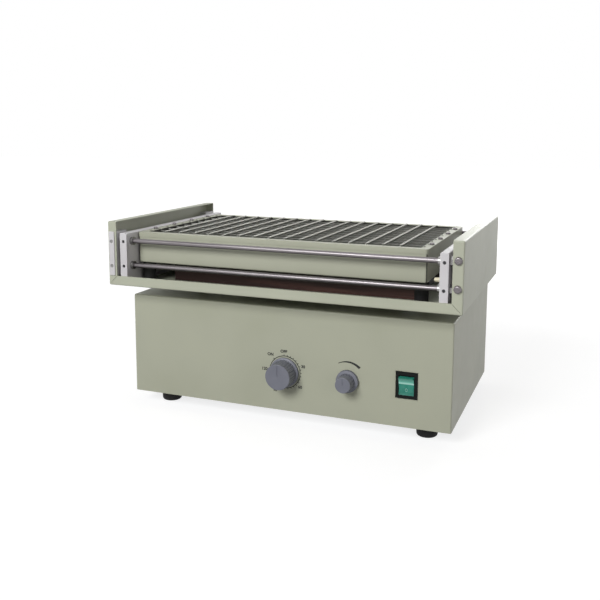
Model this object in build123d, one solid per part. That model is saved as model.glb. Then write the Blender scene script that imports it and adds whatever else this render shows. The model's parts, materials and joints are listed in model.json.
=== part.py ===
"""Reciprocating laboratory shaker: cabinet, sliding carrier frame, spring-net flask tray.

Millimetres, +Z up, front towards -Y.  The origin is the centre of the whole object's
footprint, on the surface that the rubber feet stand on.
"""

import os
from math import asin, cos, degrees, pi, radians, sin, sqrt

from build123d import *

os.makedirs("parts", exist_ok=True)

# ---------------------------------------------------------------- driving dimensions
# cabinet
cabinet_w = 410.0
cabinet_d = 250.0
cabinet_h = 127.0
cabinet_sheet = 1.2
cabinet_bend = 2.0
cabinet_lip = 12.0
bottom_sheet = 1.5
bottom_slack = 0.4
vent_count = 7
vent_w = 4.0
vent_l = 46.0
vent_pitch = 12.0
plate_screw_d = 3.0
plate_screw_head_d = 5.6
plate_screw_head_h = 1.8
plate_screw_bite = 3.0
plate_screw_corner = 20.0

# rubber feet
foot_d = 27.0
foot_taper = 1.2
foot_h = 18.0
foot_round = 3.0
foot_inset_x = 34.0
foot_inset_y = 33.0
foot_screw_d = 4.0
foot_head_d = 7.6
foot_head_h = 2.6
foot_recess_d = 10.0
foot_recess_h = 7.0
foot_nut_af = 7.0
foot_nut_h = 3.2
foot_screw_end = 1.0

# carrier frame: one folded sheet, floor, two sides and their return flanges
carrier_gap = 17.0
carrier_w = 438.0
carrier_d = 258.5
carrier_h = 79.6
carrier_overhang = 33.0
carrier_sheet = 1.2
carrier_bend = 1.8
flange_w = 12.0
mitre_slit = 0.35

# plastic side guards standing inside the carrier, tied by four rods
guard_side_gap = 15.2
guard_t = 9.4
guard_h = 64.3
guard_edge = 0.8
guard_end_gap = 0.3
rod_d = 6.0
rod_setback = 13.0
rod_low_z = 24.6
rod_high_z = 55.0
rod_end_gap = 1.0
rod_end_bevel = 0.5
rod_nut_af = 10.0
rod_nut_t = 4.0
collar_d = 10.0
collar_l = 3.6
grub_d = 4.0
grub_recess = 1.0
grub_socket = 2.0
grub_socket_depth = 2.0
holder_w = 10.6
holder_d = 22.0
holder_low = 12.6
holder_high = 67.0
flange_screw_d = 4.0
flange_screw_gap = 0.8
dome_d = 8.6
dome_h = 3.2
dome_rise = 3.3
strip_w = 7.4
strip_t = 1.6
strip_bevel = 0.4
strip_screw_head_d = 4.6
strip_screw_sink = 0.3
strip_screw_slot_w = 0.8
strip_screw_slot_h = 0.6
stop_d = 6.4
stop_tip_d = 4.2
stop_l = 11.4
stop_setback = 30.0
stop_z = 31.0

# bed board and spring-net tray
bed_side_gap = 37.7
bed_front = 52.5
bed_rear_gap = 20.0
bed_t = 24.8
bed_edge = 1.5
post_d = 16.0
post_bevel = 1.0
post_inset_x = 9.0
post_inset_y = 12.0
tray_h = 38.3
tray_sheet = 1.0
tray_rim = 10.0
tray_band_h = 5.6
tray_band_step = 0.6
tray_corner = 4.0
tray_fold = 2.4
tray_front = 26.0
tray_rear_gap = 16.5
tray_left_gap = 0.6
tray_right_gap = 17.8
tray_screw_inset_x = 68.5
tray_screw_inset_y = 46.0
tray_screw_d = 5.0
tray_head_d = 9.0
tray_head_h = 3.0
tray_screw_l = 14.0

# flask springs, two crossed layers stretched level with the tray's rim
spring_d = 3.0
spring_wire = 0.9
spring_end_gap = 1.5
long_pitch = 20.0
long_margin = 20.0
long_axis_rise = 0.6
cross_pitch = 20.0
cross_margin = 7.0
cross_layer_gap = 0.5
hook_inset = 2.6
hook_edge_gap = 0.3
hook_rise = 0.6
hook_leg = 2.6
hook_slot_w = 1.8
hook_slot_l = 2.4
rim_screw_count = 4
rim_screw_pitch = 47.5
rim_screw_inset = 3.9
rim_screw_head_d = 5.6
rim_screw_head_h = 2.2
rim_screw_d = 3.0
rim_screw_l = 2.5

# linear guide between cabinet and carrier
stroke = 20.0
rail_d = 8.0
rail_l = 300.0
rail_span = 130.0
rail_fit = 0.05
support_w = 14.0
support_l = 26.0
support_top_gap = 2.5
support_bevel = 4.0
support_head_sink = 4.0
bearing_w = 30.0
bearing_l = 28.0
bearing_floor_gap = 1.2
bearing_offset = 88.0
guide_screw_d = 4.0
guide_head_d = 7.0
guide_head_h = 3.0
guide_head_room = 0.4
guide_screw_end = 3.2
guide_screw_pitch = 17.0
floor_screw_head_h = 2.2
floor_screw_bite = 4.5
bed_pocket_room = 1.0
bed_pocket_lift = 0.8

# crank drive
conrod_l = 95.0
conrod_t = 7.0
conrod_eye_d = 20.0
conrod_shank_w = 11.0
conrod_waist_w = 6.0
conrod_waist_depth = 2.0
conrod_waist_end = 3.0
pin_d = 7.0
pin_fit = 0.05
pin_seat = 6.0
pin_head_d = 12.0
pin_head_h = 2.5
pin_bevel = 0.6
pin_tail = 3.0
ring_gap = 0.6
ring_d = 12.0
ring_t = 1.0
drive_block_w = 36.0
drive_block_d = 30.0
drive_block_drop = 3.0
drive_screw_inset = 5.0
slot_clear = 3.0
conrod_drop = 13.0
open_pivot_gap = 0.6
crank_disc_d = 46.0
crank_disc_t = 9.0
balance_gap = 3.0
crank_shaft_d = 10.0
crank_shaft_tail = 6.0
crank_pulley_d = 96.0
crank_pulley_t = 12.0
pulley_holes = 5
pulley_hole_d = 15.0
pulley_hole_ring = 54.0
pulley_gap = 2.0
housing_d = 34.0
housing_room = 4.0
housing_flange_d = 66.0
housing_flange_t = 5.0
housing_bolt_d = 4.4
housing_bolt_inset = 7.0
housing_bolts = 4
ball_race_d = 28.0
ball_race_t = 8.0
ball_race_span = 36.0
race_groove_out_d = 23.0
race_groove_in_d = 17.0
race_groove_h = 0.8
shaft_fit = 0.03
motor_x = -70.0
motor_d = 64.0
motor_h = 62.0
motor_round = 3.0
motor_rings = 3
motor_ring_pitch = 8.0
motor_ring_w = 2.5
motor_ring_depth = 1.0
motor_boss_d = 24.0
motor_boss_h = 4.0
motor_drop = 8.0
motor_shaft_d = 8.0
motor_shaft_tail = 28.0
motor_shaft_room = 2.0
motor_pulley_d = 24.0
bracket_t = 3.0
bracket_w = 84.0
bracket_d = 50.0
bracket_foot = 16.0
groove_w = 8.0
groove_depth = 5.5
groove_floor = 2.4
belt_w = 4.0
belt_t = 4.0
belt_inset = 2.2

# front controls: places from the cabinet's centre line and lower edge
timer_x = 4.0
timer_z = 48.2
timer_body_w = 46.0
timer_body_h = 46.0
timer_body_t = 36.0
timer_body_round = 4.0
timer_bush_d = 10.0
timer_nut_af = 14.0
timer_bore = 14.0
timer_knob_d = 36.0
timer_cap_d = 31.0
timer_knob_h = 23.4
timer_skirt_h = 3.0
timer_flutes = 30
timer_flute_d = 2.2
timer_mark_w = 1.4
timer_mark_gap = 3.0
timer_on_angle = 40.0
timer_full_angle = 275.0
speed_x = 83.2
speed_z = 47.0
speed_body_d = 24.0
speed_body_t = 12.0
speed_tag_pitch = 5.0
speed_tag_w = 1.6
speed_tag_t = 0.8
speed_tag_l = 12.0
speed_tag_drop = 9.0
speed_bush_d = 7.0
speed_nut_af = 10.0
speed_bore = 11.0
speed_knob_d = 26.5
speed_cap_d = 18.4
speed_knob_h = 19.4
speed_skirt_h = 4.0
speed_flutes = 18
speed_flute_d = 2.0
speed_mark_w = 1.2
speed_mark_gap = 2.0
speed_turn = 270.0
knob_lift = 0.6
knob_bush_room = 0.5
knob_nut_room = 2.5
knob_round = 0.8
knob_mark_h = 0.5
knob_flute_start = 1.6
knob_grip_step = 0.8
spindle_d = 6.0
spindle_tail = 10.0
spindle_well = 1.0
panel_nut_t = 2.0
switch_side_inset = 51.8
switch_z = 50.3
switch_bezel_w = 25.5
switch_bezel_h = 31.3
switch_bezel_t = 2.0
switch_body_w = 21.8
switch_body_h = 27.8
switch_body_t = 16.0
rocker_w = 17.4
rocker_h = 20.6
rocker_reach = 7.6
rocker_back = 3.0
rocker_pivot_depth = 3.6
rocker_gap_x = 0.35
rocker_gap_z = 1.2
rocker_tilt = 9.0
rocker_pin_d = 3.0
rocker_pin_l = 1.2

# rear mains entry
inlet_side_inset = 55.0
inlet_z = 40.0
inlet_w = 27.4
inlet_h = 20.0
inlet_flange_w = 50.0
inlet_flange_h = 24.0
inlet_flange_t = 3.0
inlet_depth = 17.0
inlet_wall = 1.9
inlet_body_t = 24.0
inlet_pin_w = 2.0
inlet_pin_h = 4.0
inlet_pin_l = 14.0
inlet_pin_pitch = 7.0
inlet_earth_rise = 2.4
inlet_pin_drop = 2.0
inlet_round = 5.0
inlet_corner_cut = 5.0
inlet_screw_pitch = 40.0
inlet_screw_d = 3.2
inlet_screw_head_d = 5.6
inlet_screw_head_h = 1.8
inlet_screw_end = 4.0
fuse_inlet_pitch = 50.0
fuse_d = 12.0
fuse_bezel_d = 16.0
fuse_bezel_t = 3.0
fuse_cap_d = 12.8
fuse_cap_l = 9.0
fuse_body_l = 30.0

# speed control board
board_w = 90.0
board_d = 60.0
board_t = 1.6
board_side_gap = 45.0
board_rear_gap = 24.0
board_hole_d = 3.2
board_hole_inset = 6.0
standoff_h = 8.0
standoff_d = 6.0
sink_w = 34.0
sink_d = 14.0
sink_h = 22.0
sink_dx = 22.0
sink_dy = 18.0
sink_slots = 4
sink_slot_w = 4.0
sink_slot_pitch = 8.0
sink_web = 3.0
cap_count = 2
cap_d = 12.0
cap_h = 20.0
cap_pitch = 15.0
cap_dx = -20.5
cap_dy = 14.0
terminal_w = 50.0
terminal_d = 9.0
terminal_h = 11.0
terminal_dx = -10.0
terminal_dy = -22.0

# ---------------------------------------------------------------- derived places
front_reach = carrier_overhang + dome_h
rear_reach = fuse_bezel_t + fuse_cap_l
cabinet_y = (front_reach - rear_reach) / 2
cabinet_front = cabinet_y - cabinet_d / 2
cabinet_rear = cabinet_y + cabinet_d / 2
cabinet_bottom = foot_h
cabinet_top = cabinet_bottom + cabinet_h

carrier_front = cabinet_front - carrier_overhang
carrier_rear = carrier_front + carrier_d
carrier_y = (carrier_front + carrier_rear) / 2
carrier_bottom = cabinet_top + carrier_gap
carrier_top = carrier_bottom + carrier_h
floor_top = carrier_bottom + carrier_sheet
inner_half_w = carrier_w / 2 - carrier_sheet

guard_outer_half = inner_half_w - guard_side_gap
guard_inner_w = 2 * (guard_outer_half - guard_t)
rod_zs = (carrier_bottom + rod_low_z, carrier_bottom + rod_high_z)
rod_ys = (carrier_front + rod_setback, carrier_rear - rod_setback)
holder_x = inner_half_w - holder_w / 2
flange_x = carrier_w / 2 - flange_w / 2
flange_screw_l = rod_setback - rod_d / 2 - flange_screw_gap
grub_l = rod_setback - rod_d / 2 - carrier_sheet - guard_end_gap - grub_recess

bed_w = guard_inner_w - 2 * bed_side_gap
bed_d = carrier_d - bed_front - bed_rear_gap
bed_y = carrier_front + bed_front + bed_d / 2
tray_w = guard_inner_w - tray_left_gap - tray_right_gap
tray_d = carrier_d - tray_front - tray_rear_gap
tray_left = -guard_inner_w / 2 + tray_left_gap
tray_x = tray_left + tray_w / 2
tray_y = carrier_front + tray_front + tray_d / 2
tray_bottom = floor_top + bed_t
rim_top = tray_bottom + tray_h
long_z = rim_top + long_axis_rise
cross_z = long_z - spring_d - cross_layer_gap
long_span = tray_d - 2 * tray_rim
cross_span = tray_w - 2 * tray_rim
long_count = int((cross_span - 2 * long_margin) / long_pitch) + 1
cross_count = int((long_span - 2 * cross_margin) / cross_pitch) + 1

rail_z = cabinet_top + carrier_gap / 2
rail_ys = (cabinet_y - rail_span / 2, cabinet_y + rail_span / 2)
support_x = rail_l / 2 - support_w / 2

crank_r = stroke / 2
crank_x = sqrt(conrod_l**2 - crank_r**2)
drive_y = cabinet_y
swing_half = degrees(asin(crank_r / conrod_l))
conrod_top = cabinet_top - conrod_drop
conrod_low = conrod_top - conrod_t
disc_top = conrod_low - open_pivot_gap
disc_low = disc_top - crank_disc_t
pulley_top = disc_low - pulley_gap
pulley_low = pulley_top - crank_pulley_t
housing_top = pulley_low - pulley_gap
inside_floor = cabinet_bottom + bottom_sheet
race_zs = (housing_top - ball_race_t, housing_top - ball_race_t - ball_race_span)
motor_top = pulley_low - motor_drop
belt_z = (pulley_top + pulley_low) / 2
board_x = cabinet_w / 2 - board_side_gap - board_w / 2
board_y = cabinet_rear - board_rear_gap - board_d / 2
switch_x = cabinet_w / 2 - switch_side_inset
inlet_x = inlet_side_inset - cabinet_w / 2
fuse_x = inlet_x + fuse_inlet_pitch

MIN_Z = (Align.CENTER, Align.CENTER, Align.MIN)
MAX_Z = (Align.CENTER, Align.CENTER, Align.MAX)
SIDES = (-1, 1)
TO_FRONT = Rotation(90, 0, 0)
TO_REAR = Rotation(-90, 0, 0)
TO_RIGHT = Rotation(0, 90, 0)


# ---------------------------------------------------------------- small helpers
def block(w, d, h, x=0.0, y=0.0, z=0.0, align=MIN_Z):
    return Pos(x, y, z) * Box(w, d, h, align=align)


def upright(d, h, x=0.0, y=0.0, z=0.0):
    return Pos(x, y, z) * Cylinder(d / 2, h, align=MIN_Z)


def along_x(d, length, x, y, z):
    """A round bar centred on x."""
    return Pos(x, y, z) * TO_RIGHT * Cylinder(d / 2, length)


def to_front(d, length, x, y, z):
    """A round bar that starts at y and points at the viewer, towards -Y."""
    return Pos(x, y, z) * TO_FRONT * Cylinder(d / 2, length, align=MIN_Z)


def to_rear(d, length, x, y, z):
    return Pos(x, y, z) * TO_REAR * Cylinder(d / 2, length, align=MIN_Z)


def hexagon(across_flats, h):
    return extrude(RegularPolygon(across_flats / 2, 6, major_radius=False), h)


def pan_screw(head_d, head_h, shank_d, shank_l):
    """Pan-head screw with its seat at z = 0, head upwards and shank downwards."""
    dome = upright(head_d, head_h)
    dome = fillet(dome.edges().group_by(Axis.Z)[-1], head_h * 0.55)
    slot = block(head_d, head_d * 0.14, head_h * 0.4, z=head_h * 0.6)
    return dome - slot + Cylinder(shank_d / 2, shank_l, align=MAX_Z)


def group(shapes):
    return Compound(children=list(shapes))


def save(shape, node):
    export_step(shape, f"parts/{node}.step")


def foot_places():
    x = cabinet_w / 2 - foot_inset_x
    y = cabinet_d / 2 - foot_inset_y
    return [(sx * x, cabinet_y + sy * y) for sx in SIDES for sy in SIDES]


def spread(count, pitch, middle=0.0):
    return [middle + (i - (count - 1) / 2) * pitch for i in range(count)]


# ---------------------------------------------------------------- cabinet
def support_screw_places():
    """Centres of the screws that hold the rail supports to the cabinet top."""
    return [
        (sx * support_x, y + sy * guide_screw_pitch / 2)
        for sx in SIDES
        for y in rail_ys
        for sy in SIDES
    ]


def make_cabinet_shell():
    outer = block(cabinet_w, cabinet_d, cabinet_h, 0, cabinet_y, cabinet_bottom)
    keep_sharp = outer.faces().sort_by(Axis.Z)[0].edges()
    outer = fillet([e for e in outer.edges() if e not in keep_sharp], cabinet_bend)
    room_w = cabinet_w - 2 * cabinet_sheet
    room_d = cabinet_d - 2 * cabinet_sheet
    shell = outer - block(
        room_w, room_d, cabinet_h - cabinet_sheet, 0, cabinet_y, cabinet_bottom
    )
    lip = block(room_w, room_d, cabinet_sheet, 0, cabinet_y, inside_floor)
    lip -= block(
        room_w - 2 * cabinet_lip, room_d - 2 * cabinet_lip, cabinet_sheet, 0, cabinet_y, inside_floor
    )
    shell += lip

    panel_y = cabinet_front + cabinet_sheet
    cut = 2 * cabinet_sheet
    shell -= to_front(timer_bush_d, cut, timer_x, panel_y, cabinet_bottom + timer_z)
    shell -= to_front(speed_bush_d, cut, speed_x, panel_y, cabinet_bottom + speed_z)
    switch_c = (switch_x, cabinet_front, cabinet_bottom + switch_z)
    shell -= Pos(*switch_c) * Box(switch_body_w + 0.2, 2 * cut, switch_body_h + 0.2)
    shell -= Pos(inlet_x, cabinet_rear, cabinet_bottom + inlet_z) * Box(
        inlet_w + 0.2, 2 * cut, inlet_h + 0.2
    )
    for sx in SIDES:
        x = inlet_x + sx * inlet_screw_pitch / 2
        shell -= to_rear(inlet_screw_d, 2 * cut, x, cabinet_rear - cut, cabinet_bottom + inlet_z)
    shell -= to_rear(fuse_d, 2 * cut, fuse_x, cabinet_rear - cut, cabinet_bottom + inlet_z)

    slot_l = stroke + pin_d + 2 * slot_clear
    slot_w = pin_d + 2 * slot_clear
    shell -= Pos(0, drive_y, cabinet_top) * extrude(
        SlotOverall(slot_l, slot_w), cut, both=True
    )
    for x, y in support_screw_places():
        shell -= upright(guide_screw_d, cut, x, y, cabinet_top - cut)
    for x, y in plate_screw_places():
        shell -= upright(plate_screw_d, cabinet_sheet, x, y, inside_floor)
    return shell


def make_bottom_plate():
    w = cabinet_w - 2 * (cabinet_sheet + bottom_slack)
    d = cabinet_d - 2 * (cabinet_sheet + bottom_slack)
    plate = block(w, d, bottom_sheet, 0, cabinet_y, cabinet_bottom)
    for x, y in foot_places():
        plate -= upright(foot_screw_d, bottom_sheet, x, y, cabinet_bottom)
    for x, y in plate_screw_places():
        plate -= upright(plate_screw_d, bottom_sheet, x, y, cabinet_bottom)
    for y in spread(vent_count, vent_pitch, cabinet_y):
        plate -= Pos(motor_x, y, cabinet_bottom) * extrude(
            SlotOverall(vent_l, vent_w), bottom_sheet
        )
    return plate


def plate_screw_places():
    """Screws up through the bottom plate into the cabinet's lip."""
    x = cabinet_w / 2 - cabinet_sheet - cabinet_lip / 2
    y = cabinet_d / 2 - cabinet_sheet - cabinet_lip / 2
    side = [(sx * x, cabinet_y) for sx in SIDES]
    ends = [
        (sx * (x - plate_screw_corner), cabinet_y + sy * y) for sx in SIDES for sy in SIDES
    ]
    return side + ends


def make_plate_screws():
    shank = bottom_sheet + cabinet_sheet + plate_screw_bite
    screw = pan_screw(plate_screw_head_d, plate_screw_head_h, plate_screw_d, shank)
    screw = Rotation(180, 0, 0) * screw
    return group(Pos(x, y, cabinet_bottom) * screw for x, y in plate_screw_places())


def make_rubber_feet():
    r_top = foot_d / 2
    r_low = r_top - foot_taper
    profile = Polyline((0, 0), (r_low, 0), (r_top, foot_h), (0, foot_h), close=True)
    foot = revolve(Plane.XZ * make_face(profile), Axis.Z)
    foot = fillet(foot.edges().group_by(Axis.Z)[0], foot_round)
    foot -= upright(foot_recess_d, foot_recess_h)
    foot -= upright(foot_screw_d, foot_h)
    return group(Pos(x, y, 0) * foot for x, y in foot_places())


def make_foot_screws():
    shank = foot_h - foot_recess_h + bottom_sheet + foot_nut_h + foot_screw_end
    screw = Rotation(180, 0, 0) * pan_screw(foot_head_d, foot_head_h, foot_screw_d, shank)
    return group(Pos(x, y, foot_recess_h) * screw for x, y in foot_places())


def make_foot_nuts():
    nut = hexagon(foot_nut_af, foot_nut_h) - upright(foot_screw_d, foot_nut_h)
    return group(Pos(x, y, inside_floor) * nut for x, y in foot_places())


# ---------------------------------------------------------------- linear guide
def make_guide_rails():
    return group(along_x(rail_d, rail_l, 0, y, rail_z) for y in rail_ys)


def make_rail_supports():
    h = carrier_gap - support_top_gap
    body = block(support_w, support_l, h)
    body = chamfer(body.edges().group_by(Axis.Z)[-1].filter_by(Axis.X), support_bevel)
    body -= along_x(rail_d, support_w, 0, 0, rail_z - cabinet_top)
    for sy in SIDES:
        y = sy * guide_screw_pitch / 2
        body -= upright(guide_screw_d, h, 0, y)
        head_seat = h - guide_head_h - support_head_sink
        body -= upright(guide_head_d + guide_head_room, h, 0, y, head_seat)
    return group(
        Pos(sx * support_x, y, cabinet_top) * body for sx in SIDES for y in rail_ys
    )


def make_support_screws():
    seat = cabinet_top + carrier_gap - support_top_gap - guide_head_h - support_head_sink
    shank = seat - cabinet_top + cabinet_sheet + guide_screw_end
    screw = pan_screw(guide_head_d, guide_head_h, guide_screw_d, shank)
    return group(Pos(x, y, seat) * screw for x, y in support_screw_places())


def bearing_places():
    return [(sx * bearing_offset, y) for sx in SIDES for y in rail_ys]


def make_slide_bearings():
    h = carrier_gap - bearing_floor_gap
    body = block(bearing_w, bearing_l, h, z=bearing_floor_gap)
    body = chamfer(body.edges().group_by(Axis.Z)[0].filter_by(Axis.X), 3)
    body -= along_x(rail_d + 2 * rail_fit, bearing_w, 0, 0, rail_z - cabinet_top)
    for sy in SIDES:
        y = sy * guide_screw_pitch / 2
        body -= upright(guide_screw_d, floor_screw_bite, 0, y, carrier_gap - floor_screw_bite)
    return group(Pos(x, y, cabinet_top) * body for x, y in bearing_places())


def bearing_screw_places():
    return [
        (x, y + sy * guide_screw_pitch / 2) for x, y in bearing_places() for sy in SIDES
    ]


# ---------------------------------------------------------------- carrier frame
def make_carrier_frame():
    outer = block(carrier_w, carrier_d, carrier_h, 0, carrier_y, carrier_bottom)
    outer = fillet(outer.edges(), carrier_bend)
    frame = outer - block(
        carrier_w - 2 * carrier_sheet,
        carrier_d - 2 * carrier_sheet,
        carrier_h - 2 * carrier_sheet,
        0,
        carrier_y,
        floor_top,
    )
    mouth_w = carrier_w - 2 * flange_w
    frame -= block(mouth_w, carrier_d + 2, carrier_h, 0, carrier_y, carrier_bottom + flange_w)

    start = carrier_bend * 1.4
    end = flange_w + 1
    middle = (start + end) / 2
    slit = Box((end - start) * sqrt(2), carrier_sheet + 0.4, mitre_slit)
    for sx in SIDES:
        for y in (carrier_front + carrier_sheet / 2, carrier_rear - carrier_sheet / 2):
            turn = Rotation(0, sx * 45, 0)
            frame -= Pos(sx * (carrier_w / 2 - middle), y, carrier_bottom + middle) * turn * slit

    for x, y in bearing_screw_places():
        frame -= upright(guide_screw_d, carrier_sheet, x, y, carrier_bottom)
    for x, y in drive_screw_places():
        frame -= upright(guide_screw_d, carrier_sheet, x, y, carrier_bottom)
    for sx, sy, end in corners():
        for z in flange_screw_zs(sx, sy):
            hole = Cylinder(flange_screw_d / 2, 3 * carrier_sheet)
            frame -= Pos(sx * flange_x, end, z) * TO_FRONT * hole
    return frame


def corners():
    """The carrier's four corners: side, end, and the outer face of that end's flange."""
    ends = ((-1, carrier_front), (1, carrier_rear))
    return [(sx, sy, end) for sx in SIDES for sy, end in ends]


def outward(sy):
    """Turn that points a screw's head out of the front or the rear."""
    return TO_FRONT if sy < 0 else TO_REAR


def strip_side(sx, sy):
    """The corner that carries the packing strip: front, left."""
    return sx < 0 and sy < 0


def flange_screw_zs(sx, sy):
    """Screw heights in one flange: level with the rods under the packing strip, where the
    screws are flush, and a little above them where they have domed heads."""
    rise = 0 if strip_side(sx, sy) else dome_rise
    return [z + rise for z in rod_zs]


def make_bearing_screws():
    """Low-head screws from the carrier floor down into the slide bearings and drive block."""
    shank = carrier_sheet + floor_screw_bite
    screw = pan_screw(guide_head_d, floor_screw_head_h, guide_screw_d, shank)
    places = bearing_screw_places() + drive_screw_places()
    return group(Pos(x, y, floor_top) * screw for x, y in places)


# ---------------------------------------------------------------- guards and rods
def make_side_guard(side):
    depth = carrier_d - 2 * (carrier_sheet + guard_end_gap)
    x = side * (guard_inner_w + guard_t) / 2
    guard = block(guard_t, depth, guard_h, x, carrier_y, floor_top)
    guard = chamfer(guard.edges().filter_by(Axis.Y), guard_edge)
    for sy, y in zip(SIDES, rod_ys):
        for z in rod_zs:
            guard -= along_x(rod_d, guard_t + 2, x, y, z)
            hole = Cylinder(grub_d / 2, rod_setback, align=MIN_Z)
            guard -= Pos(x, y, z) * outward(sy) * hole
    return guard


def make_guard_rods():
    length = 2 * (inner_half_w - rod_end_gap)
    bar = chamfer(Cylinder(rod_d / 2, length).edges(), rod_end_bevel)
    return group(Pos(0, y, z) * TO_RIGHT * bar for y in rod_ys for z in rod_zs)


def make_rod_nuts():
    """Hexagon nuts outside the guards, and collars inside them on the two front rods."""
    nut = hexagon(rod_nut_af, rod_nut_t) - upright(rod_d, rod_nut_t)
    collar = upright(collar_d, collar_l) - upright(rod_d, collar_l)
    pieces = []
    for sx in SIDES:
        out, back = Rotation(0, sx * 90, 0), Rotation(0, -sx * 90, 0)
        for z in rod_zs:
            pieces += [Pos(sx * guard_outer_half, y, z) * out * nut for y in rod_ys]
            pieces.append(Pos(sx * guard_inner_w / 2, rod_ys[0], z) * back * collar)
    return group(pieces)


def make_grub_screws():
    """Socket grub screws in the guards' ends, pinching each rod."""
    socket = Pos(0, 0, grub_l - grub_socket_depth) * hexagon(grub_socket, grub_socket_depth)
    screw = upright(grub_d, grub_l) - socket
    x = (guard_inner_w + guard_t) / 2
    return group(
        Pos(sx * x, y + sy * rod_d / 2, z) * outward(sy) * screw
        for sx in SIDES
        for sy, y in zip(SIDES, rod_ys)
        for z in rod_zs
    )


def make_rod_holders():
    low = carrier_bottom + holder_low
    height = holder_high - holder_low
    holders = []
    for sx, sy, end in corners():
        rod_y = rod_ys[SIDES.index(sy)]
        y = end - sy * (carrier_sheet + holder_d / 2)
        body = block(holder_w, holder_d, height, sx * holder_x, y, low)
        for z in rod_zs:
            body -= along_x(rod_d, holder_w + 2, sx * holder_x, rod_y, z)
        for z in flange_screw_zs(sx, sy):
            hole = Cylinder(flange_screw_d / 2, flange_screw_l, align=MAX_Z)
            body -= Pos(sx * flange_x, end, z) * outward(sy) * hole
        holders.append(body)
    return group(holders)


def make_dome_screws():
    """Dome-head screws through the flanges into the rod holders."""
    screw = pan_screw(dome_d, dome_h, flange_screw_d, flange_screw_l)
    return group(
        Pos(sx * flange_x, end, z) * outward(sy) * screw
        for sx, sy, end in corners()
        if not strip_side(sx, sy)
        for z in flange_screw_zs(sx, sy)
    )


def make_packing_strip():
    low = carrier_bottom + holder_low
    height = holder_high - holder_low
    strip = block(strip_w, strip_t, height, -flange_x, carrier_front - strip_t / 2, low)
    strip = chamfer(strip.edges().group_by(Axis.Y)[0], strip_bevel)
    for z in flange_screw_zs(-1, -1):
        strip -= to_front(strip_screw_head_d, strip_t, -flange_x, carrier_front, z)
    return strip


def make_strip_screws():
    """Flush screws through the packing strip into the left front rod holder."""
    head_h = strip_t - strip_screw_sink
    slot_z = head_h - strip_screw_slot_h
    head = upright(strip_screw_head_d, head_h)
    head -= block(strip_screw_head_d, strip_screw_slot_w, strip_screw_slot_h, z=slot_z)
    screw = head + Cylinder(flange_screw_d / 2, flange_screw_l, align=MAX_Z)
    return group(
        Pos(-flange_x, carrier_front, z) * TO_FRONT * screw for z in flange_screw_zs(-1, -1)
    )


def make_tray_stop():
    """Tapered plastic stud on the right guard's inner face, towards the tray's side wall."""
    stud = Cone(stop_d / 2, stop_tip_d / 2, stop_l, align=MIN_Z)
    stud = fillet(stud.edges().group_by(Axis.Z)[-1], stop_tip_d * 0.3)
    y = carrier_front + stop_setback
    return Pos(guard_inner_w / 2, y, carrier_bottom + stop_z) * Rotation(0, -90, 0) * stud


# ---------------------------------------------------------------- bed and tray
def make_bed_board():
    board = block(bed_w, bed_d, bed_t, 0, bed_y, floor_top)
    board = chamfer(board.edges().group_by(Axis.Z)[-1], bed_edge)
    pocket_d = guide_head_d + 2 * bed_pocket_room
    for x, y in bearing_screw_places() + drive_screw_places():
        board -= upright(pocket_d, floor_screw_head_h + bed_pocket_lift, x, y, floor_top)
    for x, y in tray_screw_places():
        board -= upright(tray_screw_d, tray_screw_l, x, y, tray_bottom - tray_screw_l)
    return board


def make_tray_posts():
    """Rubber posts on the carrier floor under the tray's four corners."""
    post = upright(post_d, bed_t)
    post = chamfer(post.edges(), post_bevel)
    x = tray_w / 2 - post_inset_x
    y = tray_d / 2 - post_inset_y
    return group(
        Pos(tray_x + sx * x, tray_y + sy * y, floor_top) * post for sx in SIDES for sy in SIDES
    )


def long_spring_xs():
    return spread(long_count, long_pitch, tray_x)


def cross_spring_ys():
    return spread(cross_count, cross_pitch, tray_y)


def tray_screw_places():
    x = tray_w / 2 - tray_screw_inset_x
    y = tray_d / 2 - tray_screw_inset_y
    return [(tray_x + sx * x, tray_y + sy * y) for sx in SIDES for sy in SIDES]


def tray_box(inset, height, z):
    """Upright box with rounded corners, `inset` inside the rim's outline."""
    box = block(tray_w - 2 * inset, tray_d - 2 * inset, height, tray_x, tray_y, z)
    return fillet(box.edges().filter_by(Axis.Z), tray_corner - inset)


def make_tray_pan():
    """Open tray with an inward rim; the hemmed band under the rim stands a little proud."""
    lower = tray_box(tray_band_step, tray_h - tray_band_h, tray_bottom)
    lower = fillet(lower.edges().group_by(Axis.Z)[0], tray_fold)
    band = tray_box(0, tray_band_h, rim_top - tray_band_h)
    wall = tray_band_step + tray_sheet
    pan = lower + band - tray_box(wall, tray_h - 2 * tray_sheet, tray_bottom + tray_sheet)
    pan -= block(cross_span, long_span, tray_band_h, tray_x, tray_y, rim_top - tray_band_h)

    slot_h = 3 * tray_sheet
    slot_z = rim_top - 2 * tray_sheet
    for x in long_spring_xs():
        for sy in SIDES:
            y = tray_y + sy * (long_span / 2 + hook_inset)
            pan -= block(hook_slot_w, hook_slot_l, slot_h, x, y, slot_z)
    for y in cross_spring_ys():
        for sx in SIDES:
            x = tray_x + sx * (cross_span / 2 + hook_inset)
            pan -= block(hook_slot_l, hook_slot_w, slot_h, x, y, slot_z)
    for x, y in tray_screw_places():
        pan -= upright(tray_screw_d, tray_sheet, x, y, tray_bottom)
    for x, y in rim_screw_places():
        pan -= upright(rim_screw_d, tray_sheet, x, y, rim_top - tray_sheet)
    return pan


def rim_screw_places():
    """Small screws along the middle of the tray's two side rims."""
    x = tray_w / 2 - rim_screw_inset
    return [
        (tray_x + sx * x, y)
        for sx in SIDES
        for y in spread(rim_screw_count, rim_screw_pitch, tray_y)
    ]


def make_rim_screws():
    shank = tray_sheet + rim_screw_l
    screw = pan_screw(rim_screw_head_d, rim_screw_head_h, rim_screw_d, shank)
    return group(Pos(x, y, rim_top) * screw for x, y in rim_screw_places())


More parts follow.
